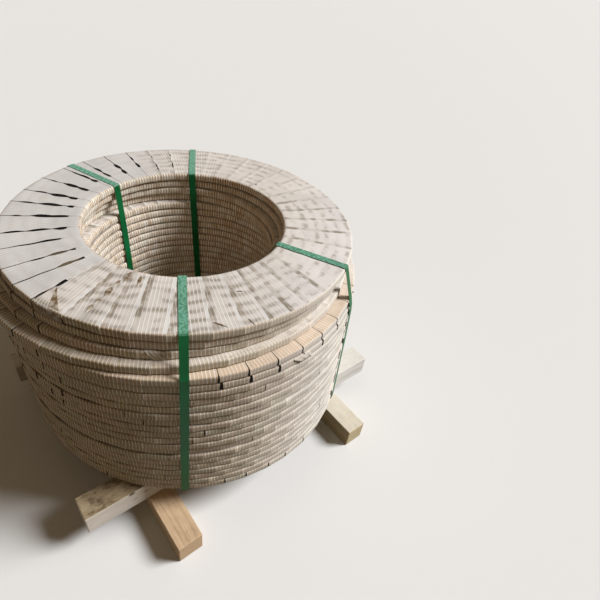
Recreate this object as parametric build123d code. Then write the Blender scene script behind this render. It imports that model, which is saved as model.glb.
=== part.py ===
"""Stack of narrow stainless steel strip coils on a timber skid.

Every coil is wound flat round the same mandrel and wrapped in tape that passes through its eye.
Four plastic straps go through the eye and round the whole stack. The stack stands on two layers
of crossed timbers. Z is up, the floor is z = 0, and X runs along the lower timbers.
"""
from math import cos, pi, radians, sin, sqrt
import os

from build123d import *

# Strip
strip_width = 20.0
strip_thickness = 1.0
small_coil_turns = 180
large_coil_turns = 206
# Clear bore inside the wrap, wound on a 20 inch mandrel
eye_diameter = 508.0

# Tape wrap, laid in turns that pass through the eye, so each turn is a flat of the outer wall
wrap_thickness = 1.55
wrap_turns = 39
# In the eye the turns lap over each other, which leaves fewer and wider flats
eye_flats = 28
wrap_slack = 0.25
wrap_edge_break = 2.4

# Stack, counted from the top
small_coils = 3
large_coils = 20
# Sideways slip of the top coils off the skid's middle, as they were set down by hand
top_slips = [(-10.0, -16.0), (-15.0, -22.0), (-22.0, -37.5), (-30.5, -38.0), (-5.5, -25.0)]
# The coils below them drift evenly from the first slip to the second, give or take the unevenness
drift_start = (-3.0, -17.0)
drift_end = (-1.5, -5.0)
drift_unevenness = 1.5
# Each coil's first tape turn starts a little further round than the one above
twist_per_coil = 4.1

# Straps
strap_width = 19.0
strap_thickness = 0.9
strap_gap = 0.2
# Each strap's direction over the top coil, how far it runs to the left of that coil's middle,
# and how far it leans to the left from the top coil to the bottom one
strap_runs = {
    "front": (332.7, -16.0, -16.0),
    "right": (28.1, 17.0, 50.0),
    "back": (150.0, -8.0, -16.0),
    "left": (200.6, -1.4, 0.0),
}

# Skid of two lower and two upper timbers
timber_side = 68.0
timber_length = 975.0
lower_spacing = 596.0
upper_spacing = 576.0

# Sizes that follow
coil_count = small_coils + large_coils
coil_height = strip_width + 2 * wrap_thickness
corner_ratio = 1 / cos(pi / wrap_turns)
eye_radius = eye_diameter / 2
strip_bore_radius = (eye_radius + wrap_thickness) / cos(pi / eye_flats) + wrap_slack
stack_bottom = 2 * timber_side + strap_thickness + strap_gap
stack_height = coil_count * coil_height
stack_top = stack_bottom + stack_height


def strip_radius(turns):
    """Outer radius of the wound strip."""
    return strip_bore_radius + turns * strip_thickness


def wrapped_radius(turns):
    """Radius over the corners between the tape turns."""
    return (strip_radius(turns) + wrap_slack + wrap_thickness) * corner_ratio


def coil_turns(index):
    return small_coil_turns if index < small_coils else large_coil_turns


def coil_base(index):
    """Height of the lower face of a coil, where the top one is number 0."""
    return stack_bottom + (coil_count - 1 - index) * coil_height


def coil_slip(index):
    """Where the middle of a coil lies, seen from above."""
    if index < len(top_slips):
        return Vector(*top_slips[index])
    along = (index - len(top_slips)) / (coil_count - len(top_slips))
    drift = Vector(*drift_start) * (1 - along) + Vector(*drift_end) * along
    return drift + Vector(sin(2.4 * index), cos(1.7 * index)) * drift_unevenness


def flat_sided_ring(bore_flat, outer_corner, height):
    """Ring with the flats of the tape turns outside and in the eye."""
    outside = RegularPolygon(outer_corner, wrap_turns)
    eye = RegularPolygon(bore_flat, eye_flats, major_radius=False)
    return extrude(outside - eye, height)


def wrapped_ring(turns):
    """Outer form of a wrapped coil, its edges rounded off where the tape turns over the strip."""
    ring = flat_sided_ring(eye_radius, wrapped_radius(turns), coil_height)
    rims = ring.faces().sort_by(Axis.Z)[0].edges() + ring.faces().sort_by(Axis.Z)[-1].edges()
    return chamfer(rims, wrap_edge_break)


def wrap_space(turns):
    """Room inside the tape for the strip."""
    corner = (strip_radius(turns) + wrap_slack) * corner_ratio
    space = flat_sided_ring(eye_radius + wrap_thickness, corner, strip_width)
    return Pos(0, 0, wrap_thickness) * space


def wound_strip(turns):
    """The strip coil itself, turned, with its bore."""
    middle = (strip_bore_radius + strip_radius(turns)) / 2
    section = Pos(middle, wrap_thickness + strip_width / 2) * Rectangle(turns * strip_thickness, strip_width)
    return revolve(Plane.XZ * section, Axis.Z)


def place_coil(shape, index):
    slip = coil_slip(index)
    return Pos(slip.X, slip.Y, coil_base(index)) * Rot(0, 0, index * twist_per_coil) * shape


def chord_reach(radius, along, across, half_width, outward):
    """How far a round edge lies along a strap, at the strap's worst side."""
    sides = [across - half_width, across, across + half_width]
    reaches = [along + sqrt(radius**2 - side**2) for side in sides]
    return max(reaches) if outward else min(reaches)


def coil_section(index, forward, leftward, sideways, lean):
    """Outline of one wrapped coil where a strap's plane cuts it, measured from the stack's top."""
    middle = coil_slip(index) - coil_slip(0)
    depth = (index + 0.5) * coil_height
    along = middle.dot(forward)
    across = middle.dot(leftward) - sideways - lean * depth / stack_height
    half_width = strap_width / 2 + abs(lean) / coil_count / 2
    inner = chord_reach(eye_radius, along, across, half_width, outward=False)
    outer = chord_reach(wrapped_radius(coil_turns(index)), along, across, half_width, outward=True)
    stretch = sqrt(1 + (lean / stack_height) ** 2)
    size = Rectangle(outer - inner, coil_height * stretch)
    corners = chamfer(size.vertices(), wrap_edge_break)
    return Pos((inner + outer) / 2, -depth * stretch) * corners


def tight_loop(points):
    """Corners of the shortest loop round all the points, in order."""
    row = sorted(points, key=lambda point: (point.X, point.Y))
    loop = []
    for way in (row, row[::-1]):
        chain = []
        for point in way:
            while len(chain) > 1 and (chain[-1] - chain[-2]).cross(point - chain[-2]).Z <= 0:
                chain.pop()
            chain.append(point)
        loop += chain[:-1]
    return loop


def strap(angle, sideways, lean):
    """Taut loop: through the eye, over the top coil, down the outside and under the bottom coil."""
    forward = Vector(cos(radians(angle)), sin(radians(angle)))
    leftward = forward.rotate(Axis.Z, 90)
    upward = Vector(0, 0, stack_height) - leftward * lean
    start = coil_slip(0) + leftward * sideways + Vector(0, 0, stack_top)
    plane = Plane(origin=start, x_dir=forward, z_dir=forward.cross(upward))
    sections = [coil_section(index, forward, leftward, sideways, lean) for index in range(coil_count)]
    corners = [Vector(*vertex) for section in sections for vertex in section.vertices()]
    hull = make_face(Polyline(*tight_loop(corners), close=True))
    inside = offset(hull, strap_gap, kind=Kind.INTERSECTION)
    outside = offset(hull, strap_gap + strap_thickness, kind=Kind.INTERSECTION)
    return extrude(plane * (outside - inside), strap_width / 2, dir=leftward, both=True)


def timber(x, y, base, along_x):
    size = (timber_length, timber_side) if along_x else (timber_side, timber_length)
    return Pos(x, y, base + timber_side / 2) * Box(*size, timber_side)


def build():
    """All pieces by name, with the skid's middle at the origin."""
    small, large = wrapped_ring(small_coil_turns), wrapped_ring(large_coil_turns)
    pieces = {
        "strip_coil_01": place_coil(wound_strip(small_coil_turns), 0),
        "wrap_01": place_coil(small - wrap_space(small_coil_turns), 0),
    }
    for index in range(1, coil_count):
        ring = small if index < small_coils else large
        pieces[f"wrapped_coil_{index + 1:02d}"] = place_coil(ring, index)
    for side, run in strap_runs.items():
        pieces[f"strap_{side}"] = strap(*run)
    for side, sign in (("front", -1), ("back", 1)):
        pieces[f"lower_timber_{side}"] = timber(0, sign * lower_spacing / 2, 0, along_x=True)
    for side, sign in (("left", -1), ("right", 1)):
        pieces[f"upper_timber_{side}"] = timber(sign * upper_spacing / 2, 0, timber_side, along_x=False)
    return pieces


def export(pieces):
    """Writes every piece, with the middle of the whole footprint at the origin."""
    footprint = Compound(list(pieces.values())).bounding_box().center()
    os.makedirs("parts", exist_ok=True)
    for name, shape in pieces.items():
        export_step(Pos(-footprint.X, -footprint.Y, 0) * shape, f"parts/{name}.step")
    print("footprint middle", footprint.X, footprint.Y)


export(build())
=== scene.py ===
import bpy, bmesh, math, random
import numpy as np
from functools import partial
from mathutils import Matrix, Vector


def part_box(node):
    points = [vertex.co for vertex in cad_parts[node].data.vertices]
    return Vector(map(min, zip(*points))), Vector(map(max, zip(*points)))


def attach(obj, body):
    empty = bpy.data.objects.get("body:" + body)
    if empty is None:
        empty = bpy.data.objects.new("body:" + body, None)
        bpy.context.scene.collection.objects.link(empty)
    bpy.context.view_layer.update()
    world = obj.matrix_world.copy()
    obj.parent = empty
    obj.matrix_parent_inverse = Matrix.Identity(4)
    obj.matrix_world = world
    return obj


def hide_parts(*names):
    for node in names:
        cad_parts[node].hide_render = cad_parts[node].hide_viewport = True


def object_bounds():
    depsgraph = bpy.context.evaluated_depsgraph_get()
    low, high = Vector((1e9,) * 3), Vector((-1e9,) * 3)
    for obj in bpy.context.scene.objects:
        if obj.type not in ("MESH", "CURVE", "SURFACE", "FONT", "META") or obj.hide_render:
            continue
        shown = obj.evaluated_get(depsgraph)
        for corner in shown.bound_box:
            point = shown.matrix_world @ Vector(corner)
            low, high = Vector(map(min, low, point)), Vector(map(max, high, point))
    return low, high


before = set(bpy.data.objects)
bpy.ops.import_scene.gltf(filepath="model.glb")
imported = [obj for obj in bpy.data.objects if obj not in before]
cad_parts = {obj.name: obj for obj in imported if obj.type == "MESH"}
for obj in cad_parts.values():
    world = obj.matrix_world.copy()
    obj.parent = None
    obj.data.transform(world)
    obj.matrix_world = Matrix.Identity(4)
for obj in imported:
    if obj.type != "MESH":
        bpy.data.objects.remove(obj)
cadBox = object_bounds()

scene = bpy.context.scene

# node settings that the materials share
times = {"operation": "MULTIPLY"}
timesPlus = {"operation": "MULTIPLY_ADD"}
smooth = {"interpolation_type": "SMOOTHSTEP"}
colors = {"data_type": "RGBA"}


def hexColor(text):
    # sRGB hex to the linear values that the nodes take
    parts = [int(text[i:i + 2], 16) / 255 for i in (1, 3, 5)]
    return [part / 12.92 if part <= 0.04045 else ((part + 0.055) / 1.055) ** 2.4 for part in parts] + [1.0]


def addNode(tree, kind, *links, **settings):
    # links go in order to the inputs that the settings leave in use, where None skips one, and a
    # node among them stands for its first output in use
    node = tree.nodes.new("ShaderNode" + kind)
    for key, value in settings.items():
        setattr(node, key, value)
    for socket, value in zip([socket for socket in node.inputs if socket.enabled], links):
        if isinstance(value, bpy.types.Node):
            value = next(output for output in value.outputs if output.enabled)
        if isinstance(value, bpy.types.NodeSocket):
            tree.links.new(value, socket)
        elif value is not None:
            socket.default_value = value
    return node


def newMaterial(name, roughness, specular=0.5):
    material = bpy.data.materials.new(name)
    material.use_nodes = True
    shader = material.node_tree.nodes["Principled BSDF"]
    shader.inputs["Roughness"].default_value = roughness
    shader.inputs["Specular IOR Level"].default_value = specular
    return material, partial(addNode, material.node_tree), shader


def finishShader(material, shader, color, bump=None):
    links = material.node_tree.links
    links.new(color.outputs["Result"], shader.inputs["Base Color"])
    if bump:
        links.new(bump.outputs["Normal"], shader.inputs["Normal"])
    return material


def wayTo(degrees):
    # level direction at an angle in the frame
    return math.cos(math.radians(degrees)), math.sin(math.radians(degrees)), 0


def meshFrom(bm, name):
    mesh = bpy.data.meshes.new(name)
    bm.to_mesh(mesh)
    bm.free()
    return mesh


def addObject(name, data):
    thing = bpy.data.objects.new(name, data)
    scene.collection.objects.link(thing)
    return thing


def addPiece(name, mesh, materials, nodes):
    piece = addObject(name, mesh)
    for material in materials:
        mesh.materials.append(material)
    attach(piece, "root")
    if nodes:
        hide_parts(*nodes)


def boxMiddle(node):
    low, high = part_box(node)
    return (low[0] + high[0]) / 2, (low[1] + high[1]) / 2


# materials

# Creped kraft tape with polyester threads laid along it: cream threads stand out on a dull tan
# sheet, whose brown backing shows through in soft rows
tapeLook = {
    "thread": "#F0EEEA", "topSmooth": "#CFCBC6", "topSheet": "#D9D0C6", "topPaintedLight": "#EFECE8", "topRow": "#9C9080",
    "wallOlive": "#B4A483", "wallSheet": "#BDA682", "wallPink": "#C1A589", "wallStainAndShade": "#A1835B",
    "wallPaintedLight": "#E9E4DB", "wallThread": "#FAF6EE", "ledge": "#D3B694", "eyeSheet": "#B58F64", "eyePale": "#D5CBB5",
    "lapStripe": "#A79B8B", "lapPatch": "#8A7D6C", "edgeStripe": "#E9E7E3", "soil": "#2E2418",
    # metres
    "threadSpacing": 0.0079, "threadHalf": 0.00085, "threadWander": 0.0030, "ribSpacing": 0.0027,
    "rowSpacing": 0.030, "rowBend": 0.030, "lapWidth": (0.008, 0.0155), "edgeWidth": (0.004, 0.010),
    "relief": 0.0006, "ledgeNode": "wrapped_coil_05", "ledgeHalf": 0.0022,
    # noise scales per metre, so 900 is a crepe of about 1 mm and 9 a stain of about 11 cm
    "crepeScale": 900, "stainScale": 9, "breakScale": 60,
}


def makeTape():
    look = tapeLook
    paint = {name: hexColor(value) for name, value in look.items() if str(value).startswith("#")}
    material, add, shader = newMaterial("creped kraft tape with threads", 0.75, 0.15)
    across, along = add("SeparateXYZ", add("UVMap", uv_map="tape")).outputs[:2]
    fromLap, clear = add("SeparateXYZ", add("UVMap", uv_map="lap")).outputs[:2]
    kind = add("Attribute", attribute_name="tapeKind")
    plaid, wall, tone = add("SeparateColor", kind).outputs
    eye = kind.outputs["Alpha"]
    place = add("TexCoord").outputs["Object"]
    height = add("SeparateXYZ", place).outputs[2]
    # how far a point lies from the middle towards each of these angles
    toward = {angle: add("VectorMath", place, wayTo(angle), operation="DOT_PRODUCT")
              for angle in (0, 40, 42, 130, 195, 250, 262)}

    # threads wander a little
    wander = add("Math", add("TexNoise", place, 26, 1), 0.5, operation="SUBTRACT")
    acrossLoose = add("Math", wander, look["threadWander"], across, **timesPlus)
    threadGap = add("Math", acrossLoose, look["threadSpacing"] / 2, operation="PINGPONG")
    threadFull = add("Math", eye, 0.0006, look["threadHalf"] * 0.5, **timesPlus)
    threadEnd = add("Math", eye, 0.0009, look["threadHalf"] * 1.7, **timesPlus)
    thread = add("MapRange", threadGap, threadFull, threadEnd, 1, 0, **smooth)
    ribGap = add("Math", acrossLoose, look["ribSpacing"] / 2, operation="PINGPONG")
    rib = add("MapRange", ribGap, 0.0002, 0.0011, 1, 0, **smooth)

    # brown rows that show through between the threads, about square to them
    bend = add("Math", add("TexNoise", place, 12, 1), 0.5, operation="SUBTRACT")
    rowShift = add("Math", bend, look["rowBend"], along, **timesPlus)
    rowShift = add("Math", tone, 0.008, rowShift, **timesPlus)
    rowGap = add("Math", rowShift, look["rowSpacing"] / 2, operation="PINGPONG")
    rows = add("MapRange", rowGap, 0.001, 0.0115, 1, 0, **smooth)
    patchy = add("MapRange", add("TexNoise", place, 20), 0.34, 0.56, **smooth)
    specks = add("MapRange", add("TexNoise", place, 55), 0.44, 0.58, **smooth)
    for share in (patchy, add("Math", plaid, 0.85, 0.15, **timesPlus),
                  add("Math", clear, 0.35, 0.6, **timesPlus),
                  add("Math", clear, specks, operation="MAXIMUM")):
        rows = add("Math", rows, share, **times)

    # the sheet on top
    # painted light: the top's sheet is paler towards the window side
    paintedLightTop = add("MapRange", toward[40], 0.12, 0.42, 0, 0.6, **smooth)
    topSheet = paint["topSmooth"]
    for share, name in ((plaid, "topSheet"), (paintedLightTop, "topPaintedLight"), (rows, "topRow")):
        topSheet = add("Mix", share, topSheet, paint[name], **colors)

    # the wall differs from turn to turn and has stains, with painted shade away from the window. The
    # side towards the window has painted light, but the ledge where the fifth coil stands out has yellowed there
    olive = add("MapRange", tone, 0.15, 0.45, **smooth)
    pink = add("MapRange", tone, 0.6, 0.9, **smooth)
    blot = add("MapRange", add("TexNoise", place, 7, 3, 0.6), 0.5, 0.68, 0, 0.6, **smooth)
    # painted shade: the wall is browner on the side away from the window
    shaded = add("MapRange", toward[250], 0.2, 0.42, 0, 0.5, **smooth)
    # painted light: the wall is paler towards the window side
    paintedLightWall = add("MapRange", toward[42], 0.20, 0.46, 0, 0.55, **smooth)
    paintedLightWallHalf = add("MapRange", toward[42], -0.06, 0.14, 0, 0.25, **smooth)
    paintedLightWall = add("Math", paintedLightWall, paintedLightWallHalf, operation="ADD")
    up = add("SeparateXYZ", add("NewGeometry").outputs["Normal"]).outputs[2]
    ledge = add("MapRange", up, 0.5, 0.9, **smooth)
    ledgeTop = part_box(look["ledgeNode"])[1][2]
    for share in (add("MapRange", toward[0], 0.24, 0.40, 0, 0.78, **smooth),
                  add("Math", height, ledgeTop, look["ledgeHalf"], operation="COMPARE")):
        ledge = add("Math", ledge, share, **times)
    wallTone = paint["wallOlive"]
    for share, name in ((olive, "wallSheet"), (pink, "wallPink"), (blot, "wallStainAndShade"), (shaded, "wallStainAndShade"),
                        (paintedLightWall, "wallPaintedLight"), (ledge, "ledge")):
        wallTone = add("Mix", share, wallTone, paint[name], **colors)

    # the eye is brown, with pale patches and a lit side
    eyePatch = add("MapRange", add("TexNoise", place, 34, 3), 0.42, 0.66, 0, 0.6, **smooth)
    eyeLit = add("MapRange", toward[195], 0.08, 0.24, **smooth)
    eyePatch = add("Math", eyeLit, 0.4, eyePatch, use_clamp=True, **timesPlus)
    eyeTone = add("Mix", eyePatch, paint["eyeSheet"], paint["eyePale"], **colors)
    wallTone = add("Mix", add("Math", eye, 0.85, **times), wallTone, eyeTone, **colors)
    sheet = add("Mix", wall, topSheet, wallTone, **colors)

    # the strip of a turn beside the edge that lies over it is greyer, and the edge itself is pale
    onTop = add("Math", plaid, add("Math", 1, wall, operation="SUBTRACT"), **times)
    lap = add("MapRange", fromLap, *look["lapWidth"], 1, 0, **smooth)
    for share in (onTop, add("MapRange", toward[130], 0.12, 0.30, 1, 0.4, **smooth)):
        lap = add("Math", lap, share, **times)
    lapFade = add("MapRange", add("TexNoise", place, 32), 0.40, 0.62, **smooth)
    lapColor = add("Mix", lapFade, paint["lapStripe"], paint["lapPatch"], **colors)
    lapShare = add("Math", lap, add("Math", lapFade, 0.68, 0.22, **timesPlus), **times)
    sheet = add("Mix", lapShare, sheet, lapColor, **colors)
    edge = add("MapRange", across, *look["edgeWidth"], 1, 0, **smooth)
    edge = add("Math", edge, onTop, **times)
    edgeFade = add("MapRange", add("TexNoise", place, 16, 1), 0.35, 0.6, 0.35, 0.95, **smooth)
    edgeFade = add("Math", edgeFade, clear, **times)
    edge = add("Math", edge, edgeFade, **times)
    sheet = add("Mix", edge, sheet, paint["edgeStripe"], **colors)

    # threads are weaker on the smooth side, over the laps and on some turns, are washed out by painted light on the
    # wall towards the window, and no two are alike
    number = add("Math", acrossLoose, look["threadSpacing"], operation="DIVIDE")
    number = add("Math", number, operation="ROUND")
    pick = add("CombineXYZ", number, add("Math", tone, 97, **times))
    chance = add("TexWhiteNoise", pick, noise_dimensions="2D")
    thread = add("Math", thread, add("Math", chance, 0.5, 0.55, **timesPlus), **times)
    amount = add("Math", plaid, 0.48, 0.44, **timesPlus)
    for share in (add("Math", clear, 0.7, 0.3, **timesPlus),
                  add("Math", lap, -0.6, 1, **timesPlus)):
        amount = add("Math", amount, share, **times)
    amount = add("Math", amount, wall, operation="MAXIMUM")
    threadsWashedOutByLight = add("MapRange", toward[42], 0.05, 0.42, 0, -0.42, **smooth)
    amount = add("Math", amount, add("Math", wall, threadsWashedOutByLight, 1, **timesPlus), **times)
    breaks = add("TexNoise", place, look["breakScale"])
    threads = add("Math", thread, amount, **times)
    breaks = add("MapRange", breaks, 0.25, 0.55, 0.45, 1, **smooth)
    threads = add("Math", threads, breaks, **times)
    threadColor = add("Mix", wall, paint["thread"], paint["wallThread"], **colors)
    color = add("Mix", threads, sheet, threadColor, **colors)

    # fine crepe of the sheet and slow stains
    crepe = add("TexNoise", place, look["crepeScale"], 3, 0.7)
    stain = add("TexNoise", place, look["stainScale"], 3, 0.6)
    shade = add("Math", rib, -0.05, 1, **timesPlus)
    for share in (add("MapRange", crepe, 0.3, 0.7, 0.93, 1.05, **smooth),
                  add("MapRange", stain, 0.3, 0.7, 0.90, 1.04, **smooth)):
        shade = add("Math", shade, share, **times)
    shade = add("CombineColor", shade, shade, shade)
    color = add("Mix", 1, color, shade, blend_type="MULTIPLY", **colors)

    # dirt and painted shade in the gaps between the coils, with more painted shade away from the window and less on
    # the lit side
    soil = add("Attribute", attribute_name="soilShadeAndFold").outputs["Fac"]
    patchy = add("MapRange", add("TexNoise", place, 17), 0.36, 0.62, 0.4, 1, **smooth)
    for share in (patchy, add("Math", paintedLightWall, -0.6, 1, **timesPlus)):
        soil = add("Math", soil, share, **times)
    paintedShadeAway = add("MapRange", toward[262], 0.15, 0.42, 1, 1.4, **smooth)
    soil = add("Math", soil, paintedShadeAway, use_clamp=True, **times)
    litEye = add("Math", eye, eyeLit, **times)
    soil = add("Math", soil, add("Math", litEye, -0.55, 1, **timesPlus), **times)
    color = add("Mix", soil, color, paint["soil"], **colors)

    relief = add("Math", thread, 0.6, add("Math", rib, 0.2, **times), **timesPlus)
    relief = add("Math", crepe, 0.35, relief, **timesPlus)
    return finishShader(material, shader, color, add("Bump", 0.55, look["relief"], None, relief))


# Rolled stainless strip, edge on, where it is seen down a slit in the tape: painted shade, almost black,
# or the brown of a fold that hangs in it
slitLook = {"dark": "#0C0A08", "dust": "#1A1510", "fold": "#8A7A62"}


def makeSlitFloor():
    look = slitLook
    material, add, shader = newMaterial("painted shade down a slit", 0.8, 0.1)
    place = add("TexCoord").outputs["Object"]
    # paler patches in the painted shade
    dust = add("MapRange", add("TexNoise", place, 120), 0.35, 0.7, **smooth)
    color = add("Mix", dust, hexColor(look["dark"]), hexColor(look["dust"]), **colors)
    fold = add("Attribute", attribute_name="soilShadeAndFold").outputs["Fac"]
    color = add("Mix", fold, color, hexColor(look["fold"]), **colors)
    return finishShader(material, shader, color)


# Stainless steel strip wound edge on: bright fine rings, one to a turn of the strip
stripLook = {"groove": "#6E6C68", "edge": "#B9B7B2", "turn": 0.001}


def makeStrip():
    look = stripLook
    material, add, shader = newMaterial("wound stainless strip edges", 0.35)
    place = add("TexCoord").outputs["Object"]
    reach = add("VectorMath", place, (1, 1, 0), **times)
    reach = add("VectorMath", reach, operation="LENGTH")
    ring = add("Math", reach, look["turn"] / 2, operation="PINGPONG")
    ring = add("MapRange", ring, 0.0001, 0.0004, **smooth)
    color = add("Mix", ring, hexColor(look["groove"]), hexColor(look["edge"]), **colors)
    shader.inputs["Metallic"].default_value = 1.0
    return finishShader(material, shader, color)


# Extruded polyester strapping with an embossed face: deep green, and paler on top with painted sheen and some dust
strapLook = {"deep": "#0D582D", "bright": "#13693A", "dust": "#A6DFCC", "relief": 0.0003, "embossScale": 420}


def makeStrapping():
    look = strapLook
    material, add, shader = newMaterial("green polyester strapping", 0.45, 0.2)
    place = add("TexCoord").outputs["Object"]
    cloud = add("MapRange", add("TexNoise", place, 14), 0.3, 0.7, **smooth)
    color = add("Mix", cloud, hexColor(look["deep"]), hexColor(look["bright"]), **colors)
    # painted sheen and dust: faces that look up are paler in patches
    up = add("SeparateXYZ", add("NewGeometry").outputs["Normal"]).outputs[2]
    dust = add("MapRange", add("TexNoise", place, 170, 3), 0.36, 0.64, 0.16, 0.44, **smooth)
    dust = add("Math", add("MapRange", up, 0.5, 0.95, **smooth), dust, **times)
    color = add("Mix", dust, color, hexColor(look["dust"]), **colors)
    emboss = add("TexNoise", place, look["embossScale"])
    return finishShader(material, shader, color, add("Bump", 0.25, look["relief"], None, emboss))


# Rough-sawn pine: pale sapwood with streaks of darker late wood along it, rings on the ends and
# grey-brown weathering in patches
def makePine(name, setup):
    material, add, shader = newMaterial(name, 0.78)
    paint = {key: hexColor(value) for key, value in setup.items() if str(value).startswith("#")}
    place = add("TexCoord").outputs["Object"]
    alongX, seed = setup["axis"] == 0, setup["seed"]
    squeeze = (0.05, 1, 1) if alongX else (1, 0.05, 1)
    grain = add("Mapping", place, (seed * 0.37, seed * 0.21, 0.13), None, squeeze)
    bend = add("Math", add("TexNoise", grain, 9), 0.5, operation="SUBTRACT")
    bend = add("CombineXYZ", bend, bend, bend)
    bent = add("VectorMath", bend, (0.03, 0.03, 0.03), grain, **timesPlus)
    ringsFrom = {"wave_type": "RINGS", "rings_direction": "X" if alongX else "Y"}
    rings = add("TexWave", bent, 58, 2.5, 2, **ringsFrom).outputs["Fac"]
    broken = add("MapRange", add("TexNoise", grain, 30), 0.35, 0.65, 0.25, 1, **smooth)
    streak = add("Math", add("MapRange", rings, 0.45, 0.95, **smooth), broken, **times)
    fibre = add("TexNoise", grain, 620)
    up = add("SeparateXYZ", add("NewGeometry").outputs["Normal"]).outputs[2]
    # painted light: a timber's far end can have paler colours of its own
    farEnd = add("SeparateXYZ", place).outputs[setup["axis"]]
    farEnd = add("MapRange", farEnd, -0.2, 0.2, **smooth)
    topColor = add("Mix", farEnd, paint["top"], paint.get("farTop", paint["top"]), **colors)
    sideColor = add("Mix", farEnd, paint["side"], paint.get("farSide", paint["side"]), **colors)
    early = add("Mix", add("MapRange", up, 0.4, 0.8, **smooth), sideColor, topColor, **colors)
    late = add("Math", streak, setup["streaks"], **times)
    color = add("Mix", late, early, paint["late"], **colors)
    # weathering lies in blotches drawn out along the grain, and darker specks in them
    drawn = add("Mapping", place, None, None, (0.5, 1, 1) if alongX else (1, 0.5, 1))
    speck = add("MapRange", add("TexNoise", drawn, 48, 4, 0.75), 0.44, 0.66, **smooth)
    sky = add("MapRange", up, 0.4, 0.8, -0.1, setup.get("sky", 0), **smooth)
    sky = add("Math", farEnd, setup.get("farSky", 0), sky, **timesPlus)
    blotch = add("Math", sky, add("TexNoise", drawn, 22, 4, 0.65), operation="ADD")
    worn = add("MapRange", blotch, 0.47, 0.62, 0, setup["worn"], **smooth)
    worn = add("Math", worn, add("Math", speck, 0.7, 0.3, **timesPlus), **times)
    color = add("Mix", worn, color, paint["grime"], **colors)
    if "knot" in setup:
        away = add("VectorMath", place, setup["knot"], operation="SUBTRACT")
        away = add("VectorMath", away, (1, 0.6, 1), **times)
        away = add("VectorMath", away, operation="LENGTH")
        knot = add("MapRange", away, 0.0035, 0.0065, 0.9, 0, **smooth)
        color = add("Mix", knot, color, paint["grime"], **colors)
    shade = add("MapRange", fibre, 0.3, 0.7, 0.88, 1.05, **smooth)
    shade = add("CombineColor", shade, shade, shade)
    color = add("Mix", 1, color, shade, blend_type="MULTIPLY", **colors)
    relief = add("Math", fibre, 0.7, streak, **timesPlus)
    return finishShader(material, shader, color, add("Bump", 0.5, 0.0006, None, relief))


# Loose and puckered tape ends show the sheet's brown back, darkened with painted shade in the folds
foldLook = {"pale": "#D0C6B6", "brownAndShade": "#5F4728"}


def makeFold():
    look = foldLook
    material, add, shader = newMaterial("puckered kraft tape", 0.7)
    place = add("TexCoord").outputs["Object"]
    soil = add("Attribute", attribute_name="soilShadeAndFold").outputs["Fac"]
    patch = add("MapRange", add("TexNoise", place, 110, 3), 0.3, 0.6, 0.45, 1, **smooth)
    patch = add("Math", soil, patch, **times)
    color = add("Mix", patch, hexColor(look["pale"]), hexColor(look["brownAndShade"]), **colors)
    return finishShader(material, shader, color)


tapeMaterial = makeTape()
slitMaterial = makeSlitFloor()
foldMaterial = makeFold()
print("tape materials made")


# camera, from the rims in the photo, with its angles in degrees and its lens in mm

cameraSetup = {"place": (0.9593, -0.5099, 1.3001), "down": 39.29, "heading": 135.0, "roll": 9.14, "lens": 27.57}


def placeCamera():
    setup = cameraSetup
    heading, down, roll = (math.radians(setup[key]) for key in ("heading", "down", "roll"))
    ahead = Vector((math.cos(heading) * math.cos(down), math.sin(heading) * math.cos(down), -math.sin(down)))
    levelRight = Vector((math.sin(heading), -math.cos(heading), 0))
    levelUp = levelRight.cross(ahead)
    right = levelRight * math.cos(roll) + levelUp * math.sin(roll)
    up = levelUp * math.cos(roll) - levelRight * math.sin(roll)
    data = bpy.data.cameras.new("camera")
    data.lens, data.sensor_width, data.sensor_fit = setup["lens"], 36, "HORIZONTAL"
    data.clip_start, data.clip_end = 0.05, 60
    camera = addObject("camera", data)
    turn = Matrix((right, up, -ahead)).transposed().to_4x4()
    camera.matrix_world = Matrix.Translation(setup["place"]) @ turn
    scene.camera = camera


placeCamera()
print("camera placed")


# tape wrap of each coil

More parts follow.
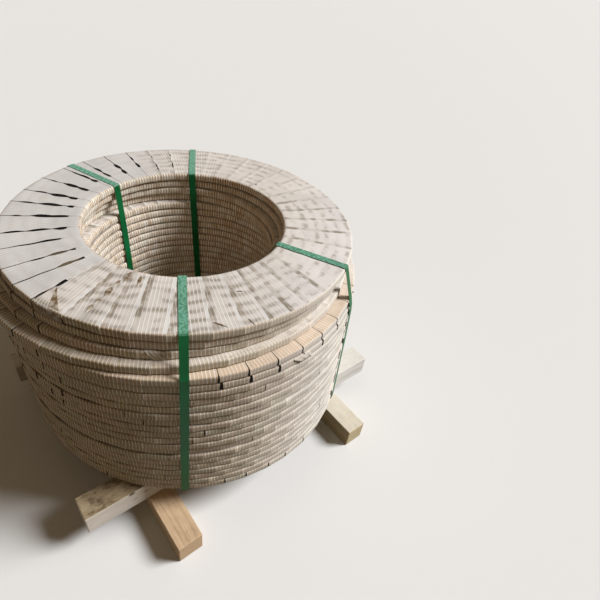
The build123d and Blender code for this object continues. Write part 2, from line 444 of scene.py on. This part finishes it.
# lengths are in metres, and angles are degrees in the frame. A seam is where one tape turn's free
# edge lies over the next turn
wrap = {
    "turns": 39, "twist": 4.1, "wander": 1.0, "lean": 1.5, "seed": 7,
    "smallCoils": 3, "smallReach": 0.44065, "largeReach": 0.46673, "eyeFlat": 0.254, "height": 0.0231,
    "outerRounding": 0.0046, "eyeRounding": 0.0068, "clear": 0.00004, "flatHalf": 5.0,
    "edgeStep": 0.0006, "slitDepth": 0.00145, "hairline": 0.00025, "open": 0.0006, "sink": 0.0003,
    # columns of one turn: two of the slit floor, then the turn from its start to its free edge
    "slots": 7, "roundSteps": 3, "sharpAngle": 38,
    # how clearly the threads stand out on the top, by angle
    "clearness": ([150, 180, 290, 346, 362, 380, 450, 500, 510],
                  [0.7, 0.8, 1, 1, 0.45, 0.25, 0.25, 0.6, 0.7]),
    # the top coil's seams as the photo shows them, as (at the eye, at the rim) where these differ
    "topSeams": [
        177.0, 186.3, 195.4, 204.0, 214.0, 224.0, 232.6, 242.2, 253.0, 262.0, 272.2, 280.5, (288.5, 289.0),
        (296.8, 299.5), (305.1, 309.9), (313.8, 317.4), (327.0, 326.5), (338.5, 337.8), (348.4, 346.2),
        (356.2, 353.5), (363.2, 360.2), (370.0, 366.3), (380.1, 374.1), (389.4, 388.6), (400.0, 401.2),
        (409.8, 411.0), (420.5, 419.9), (429.5, 429.2), 438.5, 447.8, 457.0, 466.2, 475.2, 484.1, 493.0,
        501.7, 510.5, 519.3, 528.0],
    # how far the tape has drawn apart at the first of them, in mm as (distance from the middle,
    # half length, half width, sideways shift)
    "topSlits": [
        [(388, 12, 2.2, 0), (332, 18, 3.4, 0.5)],
        [(352, 16, 4.6, 0), (308, 16, 4.2, 1)],
        [(363, 16, 3.4, 0), (318, 18, 3.2, 0.3)],
        [(382, 20, 2.2, 0), (350, 18, 3.2, 0), (311, 14, 4.6, 0.5)],
        [(400, 9, 2, 0), (343, 20, 5.2, -1.5), (301, 17, 4.6, 2)],
        [(392, 16, 2.6, -1), (340, 22, 5.4, 0.5), (297, 15, 4.4, 2.5)],
        [(398, 18, 2.8, 0), (338, 26, 5, 0), (285, 10, 4.4, 1.5)],
        [(403, 9, 2.4, 0), (343, 20, 5.2, 0), (301, 24, 4.2, 1.5)],
        [(400, 20, 3, -1), (343, 22, 3.6, 0), (292, 14, 4.6, 2)],
        [(358, 36, 1.8, 0), (318, 22, 2.6, -1)],
        [(365, 14, 2, 0), (319, 18, 3.8, 0), (280, 9, 3.4, 1.5)],
        [(400, 45, 1, 0), (322, 17, 3.8, 0), (287, 16, 2.6, 1)],
        [(420, 12, 2.2, 0), (366, 18, 3.4, 0)]],
    # small openings at later seams, by the seam's number
    "moreSlits": {31: [(277, 5, 2.6, 0)], 37: [(392, 7, 1.5, 0), (312, 22, 1.3, 0)],
                  38: [(382, 8, 1.3, 0), (316, 10, 1.7, 0), (292, 7, 1.7, 0)]},
    # seams that show on the fifth and sixth coils, and on the lowest one
    "fifthSeams": [339.4, 347.3, 355.8, 364.3, 372.5, 381.0, 390.2, 399.1],
    "lowestSeams": [339.4, 346.5, 354.7, 361.6, 370.5],
    # how the slits are drawn on the top: its face in mm from the eye outwards, what a drawn slit
    # gains in width, what it never closes below, its waver, and its half width in the wall as
    # (at the top, at the foot)
    "faceStart": 254, "faceWidth": 186, "slitGain": 1.25, "neverClosed": 0.0008, "waver": 0.0009,
    "waverLength": 9.5, "drawnWall": (0.0009, 0.0016),
    # where a brown fold hangs in two slits of the top, as (angle, distance from the middle)
    "fold": (276.5, 0.3195),
    # the top coil's smooth side, from and to, and how gently it starts and ends
    "smoothSide": (160, 292), "smoothFade": (18, 5),
    # dirt and painted shade rise from a coil's foot and lie on its top edge, and one seam is stained as (place,
    # half width, strength)
    "dirt": 0.68, "dirtAndShadeRise": 0.0042, "dirtAndShadeLimit": 0.0115, "rimDirtAndShade": 0.0022, "stainedSeam": (304.6, 1.7, 0.3),
}


def fillSeams(known):
    # known seams, and even ones round the rest
    count = wrap["turns"] - len(known)
    start, end = known[-1], known[0] + 360
    return list(known) + [start + (end - start) * (i + 1) / (count + 1) for i in range(count)]


def seamAngles(index, rng):
    # at the eye and at the rim
    if index == 0:
        pairs = [seam if isinstance(seam, tuple) else (seam, seam) for seam in wrap["topSeams"]]
        return [list(side) for side in zip(*pairs)]
    if index in (4, 5):
        rim = fillSeams(wrap["fifthSeams"])
        rim = rim[:8] + [angle + rng.uniform(-0.8, 0.8) for angle in rim[8:]]
    elif index == 22:
        rim = fillSeams(wrap["lowestSeams"])
    else:
        wander, turns = wrap["wander"], wrap["turns"]
        rim = [index * wrap["twist"] + i * 360 / turns + rng.uniform(-wander, wander) for i in range(turns)]
    lean = rng.uniform(-wrap["lean"], wrap["lean"])
    return [angle - lean for angle in rim], rim


def sectionPoints(index):
    # round the tape's section from the eye's top edge: share of the eye's radius, offset, height,
    # outward direction (radial, up), share of the way out, kind
    inner, outer = wrap["eyeRounding"], wrap["outerRounding"]
    low, high = wrap["clear"], wrap["height"] - wrap["clear"]
    topSteps = 22 if index == 0 else 7 if index < 6 else 3
    arc = [math.pi / 2 * i / wrap["roundSteps"] for i in range(wrap["roundSteps"] + 1)]
    arc = [(math.sin(a), math.cos(a)) for a in arc]
    points = []
    for i in range(topSteps + 1):
        t = i / topSteps
        points.append((1 - t, (1 - t) * inner - t * outer, high, 0, 1, t, "top"))
    for sin, cos in arc[1:]:
        points.append((0, -outer + outer * sin, high - outer + outer * cos, sin, cos, 1, "rim"))
    for i in range(1, 4):
        points.append((0, 0, high - outer - (high - low - 2 * outer) * i / 3, 1, 0, 1, "wall"))
    for sin, cos in arc[1:]:
        points.append((0, -outer + outer * cos, low + outer - outer * sin, cos, -sin, 1, "foot"))
    points.append((1, inner, low, 0, -1, 0, "under"))
    for sin, cos in arc[1:]:
        points.append((1, inner - inner * sin, low + inner - inner * cos, -sin, -cos, 0, "eyeFoot"))
    points.append((1, 0, (low + high) / 2, -1, 0, 0, "eye"))
    for sin, cos in arc[:-1]:
        points.append((1, inner - inner * cos, high - inner + inner * sin, -cos, sin, 0, "eyeRim"))
    return points


def wallOpening(index, place, rng):
    # half width of the slit in the wall, at its top and its foot
    wallTop = wallFoot = 0.0
    unrolled = place + 360 if place < 100 else place
    if 0 < index < 4 and 190 < place < 298:  # clearly open on the left under the top coil
        wallTop, wallFoot = rng.uniform(0.0010, 0.0018), rng.uniform(0.0016, 0.0028)
    elif index < 4 and 298 <= place < 309:  # nearly closed beside the loose end
        wallTop, wallFoot = 0.0002, rng.uniform(0.0003, 0.0008)
    elif index < 15 and 190 < place < 300 and rng.random() < 0.8 - index / 25:  # fewer lower down
        wallTop, wallFoot = rng.uniform(0.0006, 0.0020), rng.uniform(0.0014, 0.0042)
    if index in (4, 5) and 338 < unrolled < 400:  # those that show on the fifth and sixth coils
        wallTop, wallFoot = (0.0014, 0.0028) if index == 4 else (0.0026, 0.0044)
    if index == 22 and 338 < unrolled < 372:  # on the lowest one
        wallTop, wallFoot = 0.0014, 0.0028
    if index == 12 and abs(place - 335.5) < 4.7:  # and halfway down
        wallTop, wallFoot = 0.0016, 0.0012
    if index > 5 and wallTop == 0 and rng.random() < 0.07:  # a few more by chance
        wallTop, wallFoot = rng.uniform(0.0003, 0.001), rng.uniform(0.0006, 0.0018)
    return wallTop, wallFoot


def slitWidths(index, angles, points, rng):
    # half width of the slit and its sideways shift, at each seam and section point
    widths = np.full((len(angles), len(points)), wrap["hairline"])
    shifts = np.zeros((len(angles), len(points)))
    drawnSeams = len(wrap["topSlits"])
    for k, angle in enumerate(angles):
        phase = rng.uniform(0, 6)
        blobs = []
        if index == 0:
            blobs = wrap["topSlits"][k] if k < drawnSeams else wrap["moreSlits"].get(k, [])
        if blobs and k < drawnSeams:
            wallTop, wallFoot = wrap["drawnWall"]
        else:
            wallTop, wallFoot = wallOpening(index, angle % 360, rng)
        for i, point in enumerate(points):
            height, t, kind = point[2], point[5], point[6]
            reach = wrap["faceStart"] + t * wrap["faceWidth"]
            if kind == "top" and index == 0:
                waver = wrap["waver"] * math.sin(reach / wrap["waverLength"] + phase)
                shifts[k, i] += waver * math.sin(t * math.pi)
            if kind == "top" and blobs and reach > blobs[-1][0] - blobs[-1][1]:
                always = wrap["neverClosed"] if k < drawnSeams else 0.0
                widths[k, i] += always
                for middle, half, wide, shift in blobs:
                    near = math.exp(-((reach - middle) / half) ** 4)
                    widths[k, i] += near * (wide * wrap["slitGain"] / 1000 - always)
                    shifts[k, i] += near * shift / 1000
            if kind == "top" and index in (1, 2, 3, 4, 5) and t > 0.55:
                widths[k, i] += wallTop * 0.5 * (t - 0.55) / 0.45
            if kind in ("rim", "wall", "foot"):
                widths[k, i] += wallTop + (wallFoot - wallTop) * (1 - height / wrap["height"])
    return widths, shifts


def spinSection(name, points, reach, columns):
    # the section is spun into a ring, and each vertex remembers its place in the section
    bm = bmesh.new()
    layer = bm.verts.layers.int.new("sectionPlace")
    verts = []
    for i, (share, offset, height, *_) in enumerate(points):
        verts.append(bm.verts.new((share * wrap["eyeFlat"] + (1 - share) * reach + offset, 0, height)))
        verts[i][layer] = i
    edges = [bm.edges.new((verts[i - 1], verts[i])) for i in range(len(verts))]
    bmesh.ops.spin(bm, geom=verts + edges, cent=(0, 0, 0), axis=(0, 0, 1), angle=math.tau, steps=columns,
                   use_merge=True)
    bmesh.ops.recalc_face_normals(bm, faces=bm.faces)
    return meshFrom(bm, name)


def coilReach(index):
    return wrap["smallReach"] if index < wrap["smallCoils"] else wrap["largeReach"]


def wrapCoil(index, node, name):
    rng = random.Random(wrap["seed"] * 100 + index)
    middle, floorLevel = boxMiddle(node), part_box(node)[0][2]
    reach, eyeFlat, turns, slots = coilReach(index), wrap["eyeFlat"], wrap["turns"], wrap["slots"]
    atEye, atRim = seamAngles(index, rng)
    points = sectionPoints(index)
    widths, shifts = slitWidths(index, atRim, points, rng)
    tones = np.array([rng.random() for _ in range(turns)])
    clearness = np.array([np.interp((angle - 150) % 360 + 150, *wrap["clearness"]) * rng.uniform(0.75, 1)
                          for angle in atRim[1:] + atRim[:1]])
    sinks = np.array([rng.uniform(0, wrap["sink"]) for _ in range(turns)])
    columns = turns * slots
    mesh = spinSection(name, points, reach, columns)

    # then the vertices move to the seams, slits and laps
    count = len(mesh.vertices)
    flat = np.empty(count * 3)
    mesh.vertices.foreach_get("co", flat)
    co = flat.reshape(-1, 3)
    place = np.empty(count, dtype=np.int32)
    mesh.attributes["sectionPlace"].data.foreach_get("value", place)
    column = np.rint(np.arctan2(co[:, 1], co[:, 0]) / math.tau * columns).astype(int) % columns
    turn, slot = column // slots, column % slots

    share, offset, height, outward, upward, wayOut = np.array([point[:6] for point in points])[place].T
    kind = np.array([point[6] for point in points])[place]
    eye = np.radians(np.array(atEye + [atEye[0] + 360]))
    rim = np.radians(np.array(atRim + [atRim[0] + 360]))
    wide, sideways = np.vstack([widths, widths[:1]]), np.vstack([shifts, shifts[:1]])
    roughReach = (1 - wayOut) * eyeFlat + wayOut * reach

    def seamAt(k):
        # the seam is straight in plan from the eye to the rim, but for its sideways shift
        x = (1 - wayOut) * eyeFlat * np.cos(eye[k]) + wayOut * reach * np.cos(rim[k])
        y = (1 - wayOut) * eyeFlat * np.sin(eye[k]) + wayOut * reach * np.sin(rim[k])
        bearing = rim[k] + (np.arctan2(y, x) - rim[k] + math.pi) % math.tau - math.pi
        return bearing + sideways[k, place] / roughReach

    startSeam, endSeam = seamAt(turn), seamAt(turn + 1)
    startHalf, endHalf = wide[turn, place], wide[turn + 1, place]
    start = startSeam + startHalf / roughReach
    end = endSeam - endHalf / roughReach
    across = np.clip((slot - 2) / 4, 0, 1)
    angle = start + (end - start) * across
    inSlit = np.maximum(startHalf - 0.0001, 0.00008) / roughReach
    angle = np.where(slot == 0, startSeam - inSlit, np.where(slot == 1, startSeam + inSlit, angle))
    # a wide turn bends at its sides, so that it stays outside the strip
    halfTurn = np.minimum((endSeam - startSeam) / 2, math.radians(wrap["flatHalf"]))
    bow = 1 / np.cos(np.clip(angle - (startSeam + endSeam) / 2, -halfTurn, halfTurn))
    radius = share * eyeFlat * bow + (1 - share) * reach * np.cos(halfTurn) * bow + offset

    opened = np.clip((np.where(slot == 6, endHalf, startHalf) - 0.0004) / 0.0006, 0, 1)
    lapLow = -wrap["edgeStep"] * (1 - across) * (1 - opened * (slot < 3))
    depth = np.where(slot < 2, lapLow - wrap["slitDepth"] * opened, lapLow)
    depth = depth - sinks[turn] * (slot > 1) * (slot < 6)
    depth = np.where(kind == "under", 0, depth)
    radius = radius + outward * depth
    height = height + upward * depth
    co[:, 0] = middle[0] + radius * np.cos(angle)
    co[:, 1] = middle[1] + radius * np.sin(angle)
    co[:, 2] = floorLevel + height
    mesh.vertices.foreach_set("co", np.clip(co, cadBox[0], cadBox[1]).reshape(-1))

    # which faces belong to which turn, and which are the floor of an open slit
    loopVert = np.empty(len(mesh.loops), dtype=np.int32)
    mesh.loops.foreach_get("vertex_index", loopVert)
    faceCount = len(mesh.polygons)
    turnSets, slotSets = turn[loopVert].reshape(-1, 4), slot[loopVert].reshape(-1, 4)
    isWrap = (slotSets == 6).any(1) & (slotSets == 0).any(1)
    faceTurn = np.where(isWrap, (turnSets * (slotSets == 6)).max(1), turnSets.max(1))
    isFloor = (slotSets < 2).any(1) & ((slotSets < 2) | (slotSets == 2) | (slotSets == 6)).all(1)
    floorSeam = np.where(isWrap, faceTurn + 1, faceTurn)
    facePlace = place[loopVert].reshape(-1, 4).min(1)
    isFloor &= wide[floorSeam][np.arange(faceCount), facePlace] > wrap["open"]

    # lay the tape's own coordinates on every face corner, in metres
    k = np.repeat(faceTurn, 4)
    x, y = co[loopVert, 0] - middle[0], co[loopVert, 1] - middle[1]

    def fromSeam(k):
        ax, ay = eyeFlat * np.cos(eye[k]), eyeFlat * np.sin(eye[k])
        dx, dy = reach * np.cos(rim[k]) - ax, reach * np.sin(rim[k]) - ay
        size = np.hypot(dx, dy)
        dx, dy = dx / size, dy / size
        return (x - ax) * dy - (y - ay) * dx, (x - ax) * dx + (y - ay) * dy

    kind, wayOut, rise = kind[loopVert], wayOut[loopVert], height[loopVert]
    acrossTape, alongTape = fromSeam(k + 1)
    alongTape = alongTape + (wrap["height"] - rise) * (kind != "top") * np.where(wayOut > 0.5, 1, -1)
    for layerName, first, second in (("tape", acrossTape, alongTape), ("lap", -fromSeam(k)[0], clearness[k])):
        uv = mesh.uv_layers.new(name=layerName)
        uv.data.foreach_set("uv", np.stack([first, second], 1).reshape(-1))

    # plaid share, wall share, tone of the turn and eye share. The lower coils' tops are browner
    # where they stand out at the wall, and the top coil has a smooth side
    onTop = (kind == "top").astype(float)
    inEye = np.isin(kind, ("eye", "eyeRim", "eyeFoot")).astype(float)
    placeAngle = np.degrees(angle[loopVert]) % 360
    smoothSide, topShare = 0 * placeAngle, 1
    if index == 0:
        (start, end), (fadeIn, fadeOut) = wrap["smoothSide"], wrap["smoothFade"]
        smoothSide = np.clip((placeAngle - start) / fadeIn, 0, 1)
        smoothSide = smoothSide * np.clip((end - placeAngle) / fadeOut, 0, 1)
    else:
        rightSide = np.clip((np.cos(np.radians(placeAngle)) - 0.5) / 0.3, 0, 1)
        topShare = np.where(wayOut < 0.4, 0.9, 0.45 - 0.25 * rightSide * (index == 4))
    values = np.stack([1 - smoothSide, 1 - onTop * topShare, tones[k], inEye], 1)
    mesh.attributes.new("tapeKind", "FLOAT_COLOR", "CORNER").data.foreach_set("color", values.reshape(-1))

    # dirt and painted shade at each coil's foot, and at its top edge where the coil above hides it
    # painted shade: darker low on the wall and under the overhang of the coil above
    soil = np.clip(1.15 - rise / wrap["dirtAndShadeRise"], 0, 1) * (rise < wrap["dirtAndShadeLimit"])
    fold = 0 * soil
    if index > 0:
        overX, overY = boxMiddle(coilNodes[index - 1])
        away = np.hypot(co[loopVert, 0] - overX, co[loopVert, 1] - overY)
        covered = np.clip((coilReach(index - 1) + 0.003 - away) / 0.004, 0, 1)
        covered = covered * np.clip((away - eyeFlat + 0.003) / 0.004, 0, 1)
        rimSoilAndShade = np.clip(1 - (wrap["height"] - rise) / wrap["rimDirtAndShade"], 0, 1)
        rimSoilAndShade = rimSoilAndShade * ((onTop == 0) | (wayOut == 0) | (wayOut == 1))
        soil = np.maximum(soil, rimSoilAndShade * covered)
    soil = soil * wrap["dirt"]
    if index == 0:
        stained, half, strength = wrap["stainedSeam"]
        soil = np.maximum(soil, np.exp(-((placeAngle - stained) / half) ** 2) * strength * onTop)
        foldAngle, foldReach = wrap["fold"]
        fold = np.clip(1 - np.abs(placeAngle - foldAngle) / 8, 0, 1)
        fold = fold * np.clip(1.6 - np.abs(np.hypot(x, y) - foldReach) / 0.02, 0, 1)
    soilShadeAndFold = mesh.attributes.new("soilShadeAndFold", "FLOAT", "CORNER")
    soilShadeAndFold.data.foreach_set("value", np.where(np.repeat(isFloor, 4), fold, soil))
    mesh.attributes.remove(mesh.attributes["sectionPlace"])

    addPiece(name, mesh, [tapeMaterial, slitMaterial], [node])
    mesh.polygons.foreach_set("material_index", isFloor.astype(np.int32))
    mesh.polygons.foreach_set("use_smooth", np.ones(faceCount, dtype=bool))
    mesh.set_sharp_from_angle(angle=math.radians(wrap["sharpAngle"]))
    mesh.update()


coilNodes = ["wrap_01"] + [f"wrapped_coil_{i:02d}" for i in range(2, 24)]
for index, node in enumerate(coilNodes):
    wrapCoil(index, node, f"tapeWrap{index + 1:02d}")
print("tape wraps made")


# loose tape ends, and puckers along one seam

# each has its coil, its tape's width and rows from its inner end outwards and down the wall, as
# (distance from the coil's middle, drop below its top, lift, angle at the left, at the right)
looseEnds = {
    "looseTapeEndTop": ("wrap_01", 0.066, [
        (0.386, 0, 0.0005, 289.2, 289.9), (0.400, 0, 0.0008, 289.2, 292.4),
        (0.415, 0, 0.0009, 289.3, 295.0), (0.430, 0, 0.0007, 289.4, 297.4),
        (0.4358, 0.0014, 0.0010, 289.5, 298.4), (0.4392, 0.0046, 0.0012, 289.5, 298.9),
        (0.4400, 0.012, 0.0015, 289.6, 299.3), (0.4396, 0.0225, 0.0015, 289.8, 299.7)]),
    "looseTapeEndWall": ("wrapped_coil_03", 0.026, [
        (0.4300, 0, 0.0006, 323.5, 326.4), (0.4358, 0.0014, 0.0010, 323.7, 326.7),
        (0.4392, 0.0046, 0.0012, 324.1, 327.2), (0.4400, 0.012, 0.0014, 324.9, 328.1),
        (0.4396, 0.0215, 0.0010, 325.8, 329.1)]),
    "looseTapeFlap": ("wrapped_coil_06", 0.066, [
        (0.4620, 0.0014, 0.0006, 360.5, 366.2), (0.4648, 0.0046, 0.0012, 360.6, 366.6),
        (0.4655, 0.010, 0.0026, 361.8, 366.8), (0.4660, 0.017, 0.0046, 363.4, 366.9)]),
}
looseShape = {"columns": 14, "thickness": 0.0003, "ripple": 0.0004, "foldFrom": 0.036, "hangsBelow": 0.003}


def makeLooseEnd(name, node, width, rows):
    shape = looseShape
    middle, top = boxMiddle(node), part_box(node)[1][2]
    bm = bmesh.new()
    bmesh.ops.create_grid(bm, x_segments=shape["columns"], y_segments=len(rows) - 1, size=1)
    uvLayer, lapLayer = bm.loops.layers.uv.new("tape"), bm.loops.layers.uv.new("lap")
    for face in bm.faces:
        for loop in face.loops:
            loop[uvLayer].uv = ((loop.vert.co.x + 1) * width / 2 + 0.003, loop.vert.co.y * 0.04)
            loop[lapLayer].uv = (0.02, 1)
    for vert in bm.verts:
        u = (vert.co.x + 1) / 2
        reach, drop, lift, left, right = rows[round((vert.co.y + 1) / 2 * (len(rows) - 1))]
        angle = math.radians(left + (right - left) * u)
        raised = lift + shape["ripple"] * math.sin(u * 15)
        out, up = (raised, 0) if drop else (0, raised)
        x, y = (reach + out) * math.cos(angle), (reach + out) * math.sin(angle)
        vert.co = (middle[0] + x, middle[1] + y, min(top - drop + up, cadBox[1][2] - 0.0005))
    bmesh.ops.recalc_face_normals(bm, faces=bm.faces)
    bmesh.ops.solidify(bm, geom=bm.faces[:], thickness=shape["thickness"])
    mesh = meshFrom(bm, name)
    # what hangs at the wall looks like the wall and is darker, with dirt and painted shade
    hangs = [float(mesh.vertices[loop.vertex_index].co.z < top - shape["hangsBelow"]) for loop in mesh.loops]
    look = mesh.attributes.new("tapeKind", "FLOAT_COLOR", "CORNER")
    look.data.foreach_set("color", [value for hang in hangs for value in (0.9, 0.1 + 0.8 * hang, 0.5, 0)])
    soilShadeAndFold = mesh.attributes.new("soilShadeAndFold", "FLOAT", "CORNER")
    soilShadeAndFold.data.foreach_set("value", [0.3 * hang for hang in hangs])
    mesh.polygons.foreach_set("use_smooth", [True] * len(mesh.polygons))
    if name == "looseTapeEndTop":
        # its right side is folded over, brown side out, darkened with painted shade
        for face in mesh.polygons:
            if all(mesh.uv_layers["tape"].data[i].uv[0] > shape["foldFrom"] for i in face.loop_indices):
                face.material_index = 1
                for i in face.loop_indices:
                    soilShadeAndFold.data[i].value = 1.0
    addPiece(name, mesh, [tapeMaterial, foldMaterial], [])


# as (angle and distance in mm of the head, heading, length, width in mm, share of brown and painted shade)
puckers = [(304.9, 265, 314, 46, 13, 1.1), (304.1, 300, 303, 28, 8, 0.8), (303.8, 326, 312, 38, 12, 1.1),
           (304.1, 362, 302, 26, 9, 0.9), (303.7, 387, 309, 28, 9, 0.9), (310.6, 271, 323, 38, 7, 1.1),
           (338.5, 410, 31, 34, 4, 1.6), (348.2, 417, 1, 24, 3, 1.6), (349.7, 328, 60, 19, 3, 1.6),
           (291.7, 288, 290, 18, 5, 0.5)]
puckerHeight = 0.0018


def makePuckers():
    middle, top = boxMiddle("wrap_01"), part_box("wrap_01")[1][2]
    bm = bmesh.new()
    soilLayer = bm.verts.layers.float.new("soilShadeAndFold")
    for angle, reach, heading, length, width, brownAndShade in puckers:
        angle, heading = math.radians(angle), math.radians(heading)
        x, y = reach / 1000 * math.cos(angle), reach / 1000 * math.sin(angle)
        spot = Vector((middle[0] + x, middle[1] + y, top - 0.0002))
        made = bmesh.ops.create_uvsphere(bm, u_segments=24, v_segments=10, radius=0.5)["verts"]
        for vert in made:
            # brown with painted crease shade at the head and pale at the tail, and drawn out to a point at both ends
            share = vert.co.x + 0.5
            vert[soilLayer] = min(max(1.8 * brownAndShade - 1.9 * share, 0), 1)
            vert.co.y *= 1.3 * (1 - abs(share - 0.35) / 0.75)
        size = Matrix.Diagonal((length / 1000, width / 1000, puckerHeight, 1)) @ Matrix.Translation((0.5, 0, 0))
        turn = Matrix.Translation(spot) @ Matrix.Rotation(heading, 4, "Z")
        bmesh.ops.transform(bm, matrix=turn @ size, verts=made)
    for vert in bm.verts:
        vert.co.z = min(max(vert.co.z, top - 0.0004), cadBox[1][2] - 0.0002)
    bmesh.ops.remove_doubles(bm, verts=bm.verts, dist=0.00001)
    bmesh.ops.recalc_face_normals(bm, faces=bm.faces)
    mesh = meshFrom(bm, "tapePuckers")
    mesh.polygons.foreach_set("use_smooth", [True] * len(mesh.polygons))
    addPiece("tapePuckers", mesh, [foldMaterial], [])


for name, (node, width, rows) in looseEnds.items():
    makeLooseEnd(name, node, width, rows)
makePuckers()
print("loose tape made")


# the steel strip inside the top wrap and the straps keep their shape and get their finish

stripMaterial, strapMaterial = makeStrip(), makeStrapping()
finished = {"strip_coil_01": stripMaterial}
finished.update({f"strap_{side}": strapMaterial for side in ("front", "right", "back", "left")})
for node, material in finished.items():
    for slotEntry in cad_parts[node].material_slots:
        slotEntry.material = material
print("strip and straps finished")


# timbers

# farTop and farSide are the colours at the end towards +X or +Y, where it has its own, paler from
# weathering and painted light. sky and farSky say how much more or less is worn on top and there, and knot is the
# middle of a knot
timber = {
    "lower_timber_front": {
        "top": "#CDAF8C", "side": "#D2B48E", "late": "#AD8760", "grime": "#8F7356",
        "streaks": 0.32, "worn": 0.45, "axis": 0, "seed": 1},
    "lower_timber_back": {
        "top": "#DBD4C2", "side": "#D6C49D", "late": "#C7AE84", "grime": "#AE9773",
        "streaks": 0.4, "worn": 0.4, "axis": 0, "seed": 2},
    "upper_timber_left": {
        "top": "#DAD2C9", "side": "#C6B8A2", "late": "#AD9B82", "grime": "#8C7A62",
        "streaks": 0.35, "worn": 0.6, "axis": 1, "seed": 3},
    "upper_timber_right": {
        "top": "#B3A07E", "side": "#E2D8CA", "late": "#A08B69", "grime": "#5E4930",
        "streaks": 0.25, "worn": 0.95, "axis": 1, "seed": 4,
        # painted light: its far end is paler, and near white on the side
        "farTop": "#DCD9D0", "farSide": "#F3F1EC", "sky": 0.10, "farSky": -0.25,
        "knot": (0.3268, -0.362, 0.131)},
}
timberShape = {"cuts": 60, "edge": 0.0022, "rough": 0.0006, "longWave": 31, "shortWave": 87}


def sawnTimber(node, setup):
    shape, axis, rng = timberShape, setup["axis"], random.Random(setup["seed"])
    low, high = (Vector(corner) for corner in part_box(node))
    size, middle = high - low, (low + high) / 2
    bm = bmesh.new()
    bmesh.ops.create_cube(bm, size=1)
    bmesh.ops.scale(bm, vec=size, verts=bm.verts)
    bmesh.ops.translate(bm, vec=middle, verts=bm.verts)
    lengthwise = [edge for edge in bm.edges
                  if abs((edge.verts[0].co - edge.verts[1].co)[axis]) > size[axis] / 2]
    bmesh.ops.subdivide_edges(bm, edges=lengthwise, cuts=shape["cuts"], use_grid_fill=True)
    corners = [edge for edge in bm.edges if edge.calc_face_angle(0) > 1.0]
    bmesh.ops.bevel(bm, geom=corners, offset=shape["edge"], offset_type="OFFSET", affect="EDGES", segments=2,
                    profile=0.5, material=-1)
    phase = [rng.uniform(0, 6) for _ in range(6)]
    for vert in bm.verts:
        along = vert.co[axis]
        for other in {0, 1, 2} - {axis}:
            wave = math.sin(along * shape["longWave"] + phase[other])
            wave += 0.6 * math.sin(along * shape["shortWave"] + phase[other + 3])
            inward = -1 if vert.co[other] > middle[other] else 1
            if other == 2 and inward == 1 and low.z < 0.001:
                continue  # it rests flat on the floor
            share = abs(vert.co[other] - middle[other]) / (size[other] / 2)
            vert.co[other] += inward * shape["rough"] * (0.5 + 0.3 * wave) * share
    bmesh.ops.recalc_face_normals(bm, faces=bm.faces)
    name = "sawn" + "".join(word.capitalize() for word in node.split("_"))
    addPiece(name, meshFrom(bm, name), [makePine("rough sawn pine " + node, setup)], [node])


for node, setup in timber.items():
    sawnTimber(node, setup)
print("timbers made")


# floor, background and lights

# the floor is pale where it is seen, but throws little light up at the coils, as a dark floor
# does, and the room's shade is warm and weak
stageLook = {"floor": "#E2E1DE", "floorThrows": "#524D43", "backdrop": "#EBE8E3", "shade": "#FFDCAC",
             "shadeStrength": 0.125}


def makeStage():
    look = stageLook
    bm = bmesh.new()
    bmesh.ops.create_grid(bm, x_segments=2, y_segments=2, size=90)
    mesh = meshFrom(bm, "floor")
    floor = addObject("floor", mesh)
    floor.location.z = -0.0006
    material, add, shader = newMaterial("pale studio floor", 0.85)
    rays = add("LightPath").outputs
    seen = add("Math", rays["Is Camera Ray"], rays["Is Glossy Ray"], operation="MAXIMUM")
    color = add("Mix", seen, hexColor(look["floorThrows"]), hexColor(look["floor"]), **colors)
    mesh.materials.append(finishShader(material, shader, color))

    world = bpy.data.worlds.new("studio")
    world.use_nodes = True
    scene.world = world
    tree, links = world.node_tree, world.node_tree.links
    add = partial(addNode, tree)
    rays = add("LightPath").outputs
    seen = add("Math", rays["Is Glossy Ray"], rays["Is Transmission Ray"], operation="MAXIMUM")
    seen = add("Math", rays["Is Camera Ray"], seen, operation="MAXIMUM")
    strength = add("MapRange", seen, 0, 1, look["shadeStrength"], 1, **smooth)
    color = add("Mix", seen, hexColor(look["shade"]), hexColor(look["backdrop"]), **colors)
    background = tree.nodes["Background"]
    links.new(color.outputs["Result"], background.inputs["Color"])
    links.new(strength.outputs["Result"], background.inputs["Strength"])


# even, soft light that comes from the photo's right, as from a wide window
windowLight = {"azimuth": 58, "elevation": 43, "softness": 22, "strength": 4.3, "color": "#FBFCFF"}


def placeLamp():
    lamp = windowLight
    azimuth, elevation = math.radians(lamp["azimuth"]), math.radians(lamp["elevation"])
    level = math.cos(elevation)
    toward = Vector((math.cos(azimuth) * level, math.sin(azimuth) * level, math.sin(elevation)))
    data = bpy.data.lights.new("windowLight", "SUN")
    data.energy, data.angle = lamp["strength"], math.radians(lamp["softness"])
    data.color = hexColor(lamp["color"])[:3]
    light = addObject("windowLight", data)
    light.location = toward * 4
    light.rotation_euler = toward.to_track_quat("Z", "Y").to_euler()


makeStage()
placeLamp()
scene.view_settings.view_transform = "Standard"
print("stage and lamp placed")
